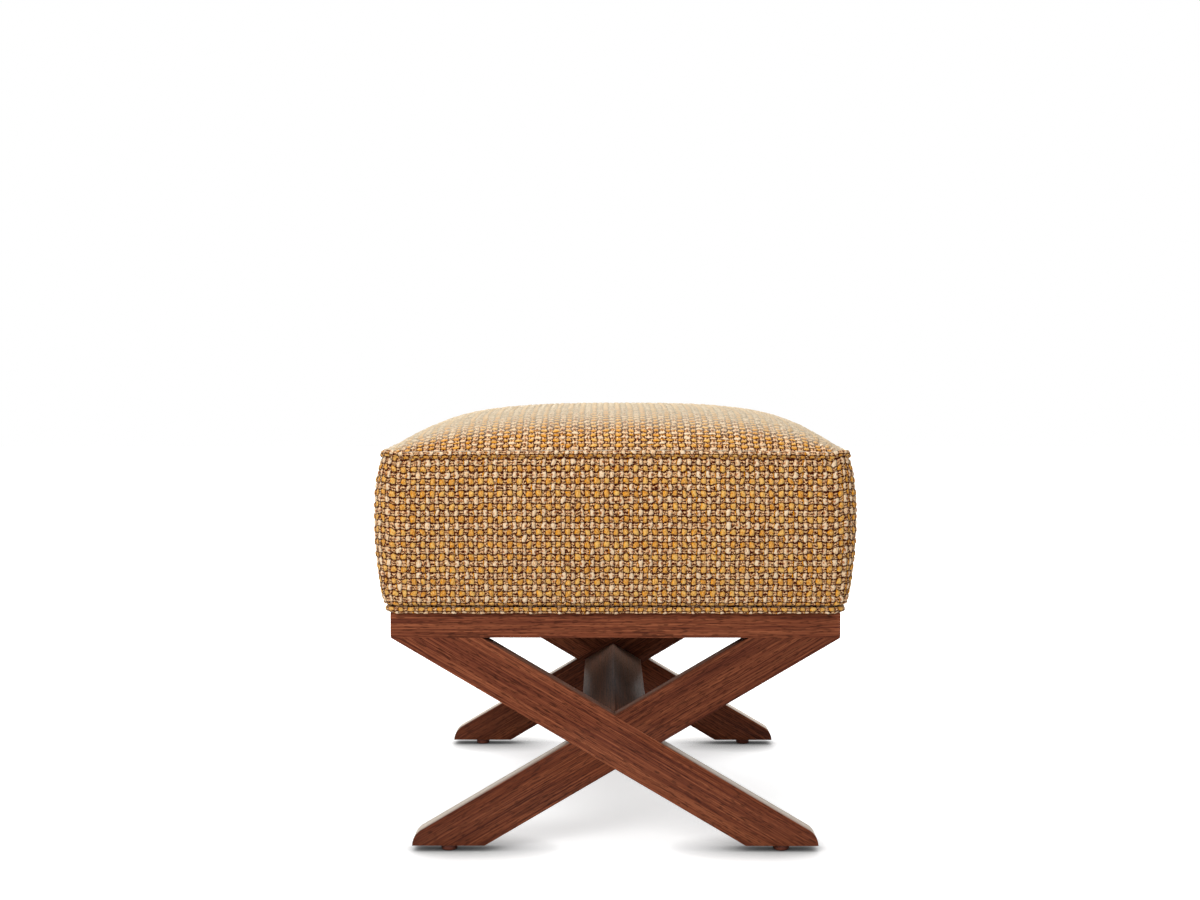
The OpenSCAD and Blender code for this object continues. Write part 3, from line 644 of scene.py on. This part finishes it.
clothLook = {
    "ochre": shade(238, 193, 112), "ochreDeep": shade(208, 134, 46), "orange": shade(246, 160, 16),
    "cream": shade(247, 222, 187), "creamDeep": shade(226, 174, 118),
    # the darkest colour on the next line is painted shade for the gaps between yarns
    "strandPale": shade(248, 208, 154), "strandBrown": shade(172, 92, 38), "gap": shade(66, 20, 4),
    "ochreHalf": (0.48, 0.43), "ochreLuck": (0.10, 0.06),  # least half width and length, luck
    "creamHalf": (0.35, 0.47), "creamLuck": (0.14, 0.06),
    "slowBend": (0.30, 0.24, 0), "fastBend": (0.46, 0.34, 0), "bendMiddle": (0.38, 0.29, 0),
    # on the next line, a painted sheen: its pale colour, the glance and facing-up ranges that show
    # it, and its share
    "pile": shade(203, 191, 168), "glance": (0.54, 0.95), "lying": (0.2, 0.75), "fuzz": 0.8,
    "rough": 0.8, "relief": 0.0011, "specular": 0.06,
    "sheen": 0.12, "sheenRough": 0.3, "sheenTint": (1, 0.9, 0.78, 1),
}


def yarnShape(across, along, luck, half, spread, square):  # below 1 on the yarn
    wide = luck[0] * spread[0] + half[0]
    tall = luck[1] * spread[1] + half[1]
    return (across / wide) ** square + (along / tall) ** 3


def clothMaterial(name):
    board, look = Board(name), clothLook
    place = board.add("UVMap", {"uv_map": "weave"}, [])
    slow = board.noise(place, scale=0.9, detail=1, output="Color", dims="2D")
    fast = board.noise(place, scale=4.4, detail=2, output="Color", dims="2D")
    ragged = board.add("VectorMath", {"operation": "ADD"}, [
        board.stretch(slow, look["slowBend"]), board.stretch(fast, look["fastBend"])])
    laid = board.add("VectorMath", {"operation": "ADD"}, [place, ragged])
    laid = board.add("VectorMath", {"operation": "SUBTRACT"}, [laid, look["bendMiddle"]])
    x, y = board.split(laid)[:2]
    side = (x + 0.5).wrap(2) - 1  # 0 mid ochre yarn, 1 or -1 mid cream yarn
    ochreX, ochreY = side.size(), ((y + 0.5).wrap(2) - 1).size()
    creamX, creamY = 1 - ochreX, 1 - ochreY
    ochreLuck = board.luck(((x + 0.5) / 2).floor(), ((y + 0.5) / 2).floor(), 3.0)
    creamLuck = board.luck(((x - 0.5) / 2).floor(), ((y - 0.5) / 2).floor(), 9.0)
    ochreShape = yarnShape(ochreX, ochreY, ochreLuck, look["ochreHalf"], look["ochreLuck"], 3)
    creamShape = yarnShape(creamX, creamY, creamLuck, look["creamHalf"], look["creamLuck"], 2.4)
    fibre = board.stretch(place, (1.0, 0.5, 1.0))
    fibre = board.noise(fibre, scale=5.5, detail=3, rough=0.7, dims="2D")
    mottle = board.noise(place, scale=2.3, detail=2, dims="2D")

    # ochre yarns, with orange on one flank
    lit = (fibre * 2.8 + ochreLuck[2] * 0.4 - 1.3).ease(0.0, 0.6)
    ochre = board.blend(lit, look["ochreDeep"], look["ochre"])
    flank = (0.0 - side + mottle * 0.8 - 0.4).ease(0.2, 0.5)
    ochre = board.blend(flank * 0.8, ochre, look["orange"])

    # cream yarns, bitten on the left or the right
    lit = (fibre * 2.4 + creamLuck[2] * 0.3 - 0.95).ease(0.0, 0.6)
    cream = board.blend(lit, look["creamDeep"], look["cream"])
    notch = (1 - creamY.ease(0.08, 0.24)) * creamX.ease(0.04, 0.18)
    chosen = (side * (creamLuck[1] - 0.5)).ease(0.08, 0.12)
    cream = board.blend(notch * chosen * 0.9, cream, look["strandBrown"])

    # thin strands, with an orange one left of some cream yarns, and painted shade in the gaps
    # between them
    stray = side.ease(0.34, 0.42) * (1 - side.ease(0.60, 0.70)) * (1 - creamY.ease(0.36, 0.46))
    stray = stray * creamLuck[2].ease(0.38, 0.5)
    lines = y * 2 + mottle * 1.2 + ochreLuck[0] * 0.4
    gapShare = (lines.wrap(1) - 0.5).size() * 2  # 0 mid strand, 1 between strands
    pale = (fibre * 2.6 - 0.85).ease(0.2, 0.6)
    thin = board.blend(pale, look["strandBrown"], look["strandPale"])
    thin = board.blend(gapShare.ease(0.4, 0.7), thin, look["gap"])
    thin = board.blend(stray, thin, look["orange"])
    rows = (y.wrap(1) - 0.5).size() * 2
    columns = (x.wrap(1) - 0.5).size() * 2
    # painted shade in the seams between rows and columns of yarns
    seamShade = rows.ease(0.68, 0.92) + columns.ease(0.8, 1.0) * 0.5
    thin = board.blend(seamShade * (mottle * 0.8 + 0.6), thin, look["gap"])
    # painted shade in a rim round each yarn
    rim = 1 - ochreShape.ease(1.4, 2.6)
    rim = rim.top((1 - creamShape.ease(1.3, 2.4)) * 0.8)
    thin = board.blend(rim, thin, look["gap"])

    # all together, and a painted sheen, pale, where the cloth faces up and is seen at a glance
    colour = board.blend(1 - ochreShape.ease(0.86, 1.1), thin, ochre)
    colour = board.blend(1 - creamShape.ease(0.8, 1.15), colour, cream)
    nap = board.add("Attribute", {"attribute_name": "nap"}, [], "Vector")
    glance = board.add("LayerWeight", {}, {"Blend": 0.5, "Normal": nap}, "Facing")
    pile = glance.ease(*look["glance"]) * board.split(nap)[2].ease(*look["lying"])
    colour = board.blend(pile * look["fuzz"], colour, look["pile"])
    fuzz = board.noise(place, scale=9, detail=3, rough=0.7, dims="2D")
    back = (1 - ochreShape).top(1 - creamShape).top(0.0) ** 0.5
    bump = board.relief(1.0, look["relief"], back + (1 - gapShare) * 0.18 + fuzz * 0.4)
    return board.finish(colour, fuzz * 0.1 + look["rough"], bump, {
        "Sheen Weight": look["sheen"], "Sheen Roughness": look["sheenRough"],
        "Sheen Tint": look["sheenTint"], "Specular IOR Level": look["specular"]})


# The cloth's mesh

chanceTable = np.random.default_rng(weave["seed"]).random(
    (weave["layers"], weave["chances"], weave["chances"]))


def cellChance(layer, column, row):
    return chanceTable[layer, column.astype(int) % weave["chances"],
                       row.astype(int) % weave["chances"]]


def wander(layer, u, v):  # a smooth random drift, one value per yarn crossing
    i, j = np.floor(u), np.floor(v)
    a, c = u - i, v - j
    a, c = a * a * (3 - 2 * a), c * c * (3 - 2 * c)
    low = cellChance(layer, i, j) * (1 - a) + cellChance(layer, i + 1, j) * a
    high = cellChance(layer, i, j + 1) * (1 - a) + cellChance(layer, i + 1, j + 1) * a
    return (low * (1 - c) + high * c) * 2 - 1


def dome(a, c, wide, tall):
    return (np.clip(1 - (a / wide) ** 2.4, 0, 1) * np.clip(1 - (c / tall) ** 3, 0, 1)) ** 0.5


def weaveHeight(u, v):  # 0 in the gaps to about 1 on a yarn's back
    a, c = np.abs((u + 0.5) % 2 - 1), np.abs((v + 0.5) % 2 - 1)
    least, more = weave["ochreHigh"]
    rise = least + more * cellChance(2, (u + 0.5) // 2, (v + 0.5) // 2)
    ochre = dome(a, c, *weave["ochre"]) * rise
    least, more = weave["creamHigh"]
    rise = least + more * cellChance(4, (u - 0.5) // 2, (v - 0.5) // 2)
    cream = dome(1 - a, 1 - c, *weave["cream"]) * rise
    rows = np.abs(v - np.floor(v) - 0.5) * 2
    thin = weave["strand"] * (1 - weave["strandDip"] * rows ** 6)
    return np.maximum(np.maximum(ochre, cream), thin)


def gridNormals(points, rows, columns):
    grid = points.reshape(rows, columns, 3)
    normal = np.cross(np.gradient(grid, axis=1), np.gradient(grid, axis=0))
    normal /= np.maximum(np.linalg.norm(normal, axis=2, keepdims=True), 1e-12)
    return normal.reshape(-1, 3)


def blur(values, times):
    for _ in range(times):
        for axis in (0, 1):
            pad = np.pad(values, [(1, 1) if k == axis else (0, 0) for k in (0, 1)], mode="edge")
            cut = [slice(None)] * 2
            parts = []
            for k in range(3):
                cut[axis] = slice(k, k + values.shape[axis])
                parts.append(pad[tuple(cut)])
            values = (parts[0] + 2 * parts[1] + parts[2]) / 4
    return values


def followStuffing(points, normals, shape):  # settles a cloth onto the swelled cushion
    gaps = np.empty(len(points))
    for k, (point, normal) in enumerate(zip(points * mm, normals)):
        hit = stuffedSurface.find_nearest(Vector(point))[0]
        gaps[k] = (np.array(hit) - point) @ normal / mm
    cap = padding["cap"]
    return blur(np.clip(gaps, -cap, cap).reshape(shape), padding["blurs"]).ravel()


def layCloth(name, columns, rows, place):
    # place(column, row) gives points in mm, the weave's u and v, and a fade that is 0 at the edges
    deselectAll()
    bpy.ops.mesh.primitive_grid_add(x_subdivisions=columns, y_subdivisions=rows, size=2)
    piece = newPiece(name)
    flat = readPoints(piece)
    column = np.rint((flat[:, 0] + 1) / 2 * columns)
    row = np.rint((flat[:, 1] + 1) / 2 * rows)
    order = np.lexsort((column, row))
    points, u, v, fade = place(column[order], row[order])
    shape = (rows + 1, columns + 1)
    normals = gridNormals(points, *shape)
    settle = followStuffing(points, normals, shape) * fade
    u2 = u + weave["wander"] * wander(0, u, v)
    v2 = v + weave["wander"] * wander(1, u, v)
    height = (weaveHeight(u2, v2) - weave["proud"]) * weave["depth"]
    lift = settle + height * fade - (1 - fade) * weave["sink"]
    points = points + normals * lift[:, None]
    back = np.empty(len(order), dtype=int)
    back[order] = np.arange(len(order))
    writePoints(piece, points[back] * mm)
    writeWeaveMap(piece, u2[back], v2[back])
    writeNap(piece, normals[back])
    return piece


def writeNap(piece, normals):  # the way that the cloth faces, without its yarns
    layer = piece.data.attributes.new("nap", "FLOAT_VECTOR", "POINT")
    flat = np.ascontiguousarray(normals, dtype=np.float64).ravel()
    layer.data.foreach_set("vector", flat)


def writeWeaveMap(piece, u, v, wrap=None):
    layer = piece.data.uv_layers[0]
    layer.name = "weave"
    corners = np.empty(len(piece.data.loops), dtype=np.int32)
    piece.data.loops.foreach_get("vertex_index", corners)
    uv = np.stack([u[corners], v[corners]], -1)
    if wrap:  # a ring's last face joins the first
        faces = uv.reshape(-1, 4, 2)
        for axis in (0, 1):
            most = faces[:, :, axis].max(axis=1, keepdims=True)
            across = most - faces[:, :, axis] > wrap[axis] / 2
            faces[:, :, axis] += np.where(across, wrap[axis], 0)
        uv = faces.reshape(-1, 2)
    layer.data.foreach_set("uv", uv.ravel())


def closeBack(piece, inward, pinch):  # turns the cloth's edge in and closes it behind
    pickUp(piece)
    bpy.ops.object.mode_set(mode="EDIT")
    bpy.ops.mesh.select_mode(type="EDGE")
    bpy.ops.mesh.select_all(action="DESELECT")
    bpy.ops.mesh.select_non_manifold(
        extend=False, use_wire=False, use_boundary=True, use_multi_face=False,
        use_non_contiguous=False, use_verts=False)
    bpy.ops.mesh.extrude_edges_move(
        TRANSFORM_OT_translate={"value": [value * mm for value in inward]})
    bpy.ops.transform.resize(value=pinch)
    bpy.ops.mesh.edge_face_add()
    bpy.ops.object.mode_set(mode="OBJECT")


# The five panels of the cover

def evenPlaces(count, half, heights):  # places along a profile at an even cloth pace
    fine = np.linspace(-half, half, 4001)
    run = np.concatenate([[0], np.cumsum(np.hypot(np.diff(fine), np.diff(heights(fine))))])
    return np.interp(np.linspace(0, run[-1], count + 1), run, fine)


topPanel = {
    "half": 230.6, "round": 20.2, "cloth": 478,  # cloth is the panel's length over the crown
    "dip": 0.9, "dipReach": 2.0, "fade": 3.5, "shiftU": 0.3, "shiftV": 0.1,
    "turnIn": 4, "pinch": 0.985,
}


def roundCorner(x, y, half, corner):  # bends the weave's lines round the panel's corners
    t = np.maximum(np.maximum(np.abs(x), np.abs(y)), 1e-6)
    reach = (t / half) ** 3
    r = np.maximum(corner * reach, 1e-6)
    front = np.abs(y) >= np.abs(x)
    s = np.where(front, x, y) / t
    straight = t - r
    d = np.abs(s) * (straight + r * np.pi / 4)
    lean = np.clip((d - straight) / r, 0, np.pi / 4)
    along = np.sign(s) * (np.minimum(d, straight) + r * np.sin(lean))
    facing = t - r + r * np.cos(lean)
    return (np.where(front, along, np.sign(x) * facing),
            np.where(front, np.sign(y) * facing, along))


def topPlaces():
    half = topPanel["half"]
    columns = int(round(topPanel["cloth"] / weave["along"])) * weave["rowSteps"]
    rows = int(round(topPanel["cloth"] / weave["across"])) * weave["columnSteps"]
    xs = evenPlaces(columns, half, lambda t: coverZ(t, 0 * t))
    ys = evenPlaces(rows, half, lambda t: coverZ(0 * t, t))

    def place(column, row):
        x, y = xs[column.astype(int)], ys[row.astype(int)]
        x, y = roundCorner(x, y, half, topPanel["round"])
        edge = half - np.maximum(np.abs(x), np.abs(y))
        corner = half - topPanel["round"]
        inCorner = (np.abs(x) > corner) & (np.abs(y) > corner)
        fromArc = topPanel["round"] - np.hypot(np.abs(x) - corner, np.abs(y) - corner)
        edge = np.maximum(np.where(inCorner, fromArc, edge), 0)
        z = coverZ(x, y) - topPanel["dip"] * np.exp(-edge / topPanel["dipReach"])
        u = row / weave["columnSteps"] + topPanel["shiftU"]  # thick yarns run left to right here
        v = column / weave["rowSteps"] + topPanel["shiftV"]
        return np.stack([x, y, z], -1), u, v, np.clip(edge / topPanel["fade"], 0, 1)

    return columns, rows, place


boxing = {
    "yarns": 96, "words": ("front", "right", "rear", "left"),
    "seamDip": 1.7, "seamReach": 2.2, "edgeDip": 1.2, "edgeReach": 1.8, "lowDip": 1.6,
    "lowReach": 2.2, "fade": 3.0, "topTuck": 2.2, "topRise": 2, "drawIn": 4, "turnFrom": 0.9,
    "shiftU": (0.3, 0.9, 0.55, 0.15), "shiftV": 0.75,
    "tuck": [(228.4, 250.6), (224.0, 249.4), (222.4, 244.3), (206.0, 244.2)],  # reach and height
    "tuckCorner": 213, "tuckRound": 1.5, "turnIn": 7, "pinch": 0.985, "pinchLow": 0.97,
}


def boxingPlaces(side):
    columns = boxing["yarns"] * weave["columnSteps"]
    shares = np.linspace(0, 1, 801)
    out = cushion["swell"] * swell(shares) - boxing["drawIn"] * shares
    drop = (cushion["topZ"] + boxing["topRise"] - cushion["lowZ"]) * shares
    run = np.concatenate([[0], np.cumsum(np.hypot(np.diff(out), np.diff(drop)))])
    rows = int(round(run[-1] / weave["along"] * weave["rowSteps"]))
    pace = run[-1] / rows
    shareOf = np.interp(np.arange(rows + 1) * pace, run, shares)
    tuck = len(boxing["tuck"])

    def place(column, row):
        s = column / columns * 2 - 1
        step = rows + tuck - row  # the grid's last row is the top edge
        onSide = np.clip(step, 0, rows)
        points = boxingPlace(side, s, shareOf[onSide.astype(int)])
        fromTop, fromLow = onSide * pace, (rows - onSide) * pace
        toSeam = (1 - np.abs(s)) * cushion["length"]
        dip = (boxing["edgeDip"] * np.exp(-fromTop / boxing["edgeReach"])
               + boxing["lowDip"] * np.exp(-fromLow / boxing["lowReach"])
               + boxing["seamDip"] * np.exp(-toSeam / boxing["seamReach"]))
        middle = points[:, :2]
        away = middle / np.linalg.norm(middle, axis=1, keepdims=True)
        square = np.array([[0, -1], [1, 0], [0, 1], [-1, 0]][side])
        lean = np.clip((np.abs(s) - boxing["turnFrom"]) / (1 - boxing["turnFrom"]), 0, 1)[:, None]
        away = away * lean + square * (1 - lean)
        points[:, :2] -= away * dip[:, None]
        points[:, 2] += np.where(step <= 1, boxing["topTuck"] * (1 - step), 0)
        for turn, (reach, z) in enumerate(boxing["tuck"], 1):
            here = step == rows + turn
            corner = max(reach - boxing["tuckCorner"], boxing["tuckRound"])
            along, facing = sidePlace(s[here], reach, corner, 0, cushion["length"])
            x, y = turnTo(side, along, facing)
            points[here] = np.stack([x, y, np.full_like(x, z)], -1)
        u = column / weave["columnSteps"] + boxing["shiftU"][side]
        v = step / weave["rowSteps"] + boxing["shiftV"]
        inside = np.minimum(np.minimum(fromTop, fromLow), toSeam)
        fade = np.where(step > rows, 0, np.clip(inside / boxing["fade"], 0, 1))
        return points, u, v, fade

    return columns, rows + tuck, place


def makeCover():
    cloth = clothMaterial("nubbyWeave")
    top = layCloth("coverTop", *topPlaces())
    closeBack(top, (0, 0, -topPanel["turnIn"]), (topPanel["pinch"], topPanel["pinch"], 1))
    dress(top, cloth, ["cover_top_panel"])
    print("top panel laid,", len(top.data.polygons), "faces")
    for side, word in enumerate(boxing["words"]):
        panel = layCloth("boxing" + word.title(), *boxingPlaces(side))
        pinch = [boxing["pinch"], 1, boxing["pinchLow"]]
        if side % 2:  # the right and left panels run front to rear
            pinch[:2] = 1, boxing["pinch"]
        closeBack(panel, (*turnTo(side, 0, -boxing["turnIn"]), 0), pinch)
        dress(panel, cloth, ["cover_boxing_" + word])
    print("boxing laid")
    return cloth


cloth = makeCover()


# The welts

welts = {
    "topWelt": {"node": "top_welt", "half": 232.5, "round": 22.0, "radius": 3.0, "turned": 1.1,
                "z": None},  # follows the seam
    "bottomWelt": {"node": "bottom_welt", "half": 228.4, "round": 16.5, "radius": 3.1,
                   "turned": 0.2, "z": 246.5},
}
piping = {"around": 4, "depth": 1.6, "proud": 0.35, "wander": 0.3, "drop": 1}


def makeWelt(name, facts):
    straight = facts["half"] - facts["round"]
    perSide = straight + facts["round"] * math.pi / 4
    cells = int(round(8 * perSide / weave["across"] / 2)) * 2
    rings, sides = cells * weave["columnSteps"], piping["around"] * weave["rowSteps"]
    deselectAll()
    bpy.ops.mesh.primitive_torus_add(major_segments=rings, minor_segments=sides,
                                     major_radius=1, minor_radius=0.25)
    piece = newPiece(name)
    x, y, z = readPoints(piece).T
    major = (np.rint(np.arctan2(y, x) / (2 * np.pi) * rings)) % rings
    minor = (np.rint(np.arctan2(z, np.hypot(x, y) - 1) / (2 * np.pi) * sides)) % sides
    turn = major / rings * 4  # whole sides gone round
    side = np.floor(turn).astype(int) % 4
    s = (turn - np.floor(turn)) * 2 - 1
    u = major / weave["columnSteps"]
    v = minor / weave["rowSteps"] + facts["turned"]
    u2 = u + piping["wander"] * wander(3, u, v)
    radius = facts["radius"] + (weaveHeight(u2, v) - piping["proud"]) * piping["depth"]
    angle = minor / sides * 2 * np.pi
    points, facings = np.empty((len(x), 3)), np.empty((len(x), 3))
    for k in range(4):
        here = side == k
        along, facing = sidePlace(s[here], facts["half"], facts["round"], 0)
        past = (np.abs(s[here]) * perSide - straight) / facts["round"]
        lean = np.sign(s[here]) * np.clip(past, 0, np.pi / 4)
        x, y = turnTo(k, along, facing)
        outX, outY = turnTo(k, np.sin(lean), np.cos(lean))
        z = seamZ(s[here]) - piping["drop"] if facts["z"] is None else facts["z"]
        level, rise = np.cos(angle[here]), np.sin(angle[here])
        facings[here] = np.stack([outX * level, outY * level, rise], -1)
        middle = np.stack([x, y, z + 0 * x], -1)
        points[here] = middle + facings[here] * radius[here][:, None]
    writePoints(piece, points * mm)
    writeWeaveMap(piece, u2, v, (cells, piping["around"]))
    writeNap(piece, facings)
    dress(piece, cloth, [facts["node"]])


for weltName, weltFacts in welts.items():
    makeWelt(weltName, weltFacts)
print("welts laid")


# The wadding that the cover hides

def tuckPadding():
    pickUp(stuffing)
    bpy.ops.object.mode_set(mode="EDIT")
    bpy.ops.mesh.select_all(action="SELECT")
    bpy.ops.transform.shrink_fatten(value=-padding["inside"] * mm)
    bpy.ops.object.mode_set(mode="OBJECT")
    wadding = mottled("wadding", shade(236, 234, 226), shade(250, 249, 244), 300, 0.85, 0.0, 0.0006)
    dress(stuffing, wadding, ["wadding_wrap"])


tuckPadding()


# Dust cover and glides

under = {
    "half": 215.0, "z": 243.4, "thick": 0.6, "cuts": 60,
    "heldAt": 0.92, "looseOver": 0.3, "sag": 2.2, "pucker": 0.5, "waves": (23, 7, 19, 4),
    "dark": shade(24, 23, 22), "light": shade(48, 46, 44),
}
glide = {"edge": 1.2, "edgeSteps": 4, "smooth": 40, "dark": shade(104, 50, 34),
         "light": shade(124, 64, 44)}


def makeDustCover():
    deselectAll()
    bpy.ops.mesh.primitive_grid_add(x_subdivisions=under["cuts"], y_subdivisions=under["cuts"],
                                    size=2 * under["half"] * mm, location=(0, 0, 0))
    piece = newPiece("dustCloth")
    points = readPoints(piece) / mm
    x, y = points[:, 0] / under["half"], points[:, 1] / under["half"]
    inside = under["heldAt"] - np.maximum(np.abs(x), np.abs(y))
    loose = np.clip(inside / under["looseOver"], 0, 1)
    wide, bend, deep, skew = under["waves"]
    ripple = np.sin(x * wide + np.sin(y * bend) * 2) * np.sin(y * deep + x * skew)
    points[:, 2] = under["z"] - under["sag"] * loose ** 0.7 * (1 - 0.4 * (x * x + y * y))
    points[:, 2] += under["pucker"] * ripple * loose
    writePoints(piece, points * mm)
    addModifier(piece, "SOLIDIFY", thickness=under["thick"] * mm, offset=0)
    applyAll(piece)
    board = Board("blackCloth")
    place = board.add("TexCoord", {}, [], "Object")
    web = board.noise(place, scale=420, detail=4, rough=0.7)
    dots = board.add("TexVoronoi", {"feature": "F1"}, {"Vector": place, "Scale": 900.0}, 0)
    colour = board.ramp(web, (0.3, under["dark"]), (0.7, under["light"]))
    bump = board.relief(0.5, 0.0003, web + dots * 0.6)
    black = board.finish(colour, web * 0.1 + 0.85, bump)
    dress(piece, black, ["dust_cover"])
    (2 * under["half"] * mm,) * 2


def makeGlides():
    piece = copyNode("glides", "glideButtons")
    easeEdges(piece, glide["edge"], glide["edgeSteps"])
    board = Board("glidePlastic")
    place = board.add("TexCoord", {}, [], "Object")
    specks = board.noise(place, scale=800, detail=2)
    colour = board.ramp(specks, (0.3, glide["dark"]), (0.7, glide["light"]))
    brown = board.finish(colour, specks * 0.1 + 0.42, board.relief(0.2, 0.0001, specks))
    dress(piece, brown, ["glides"], angle=glide["smooth"])


makeDustCover()
makeGlides()
print("dust cover and glides made")

deselectAll()
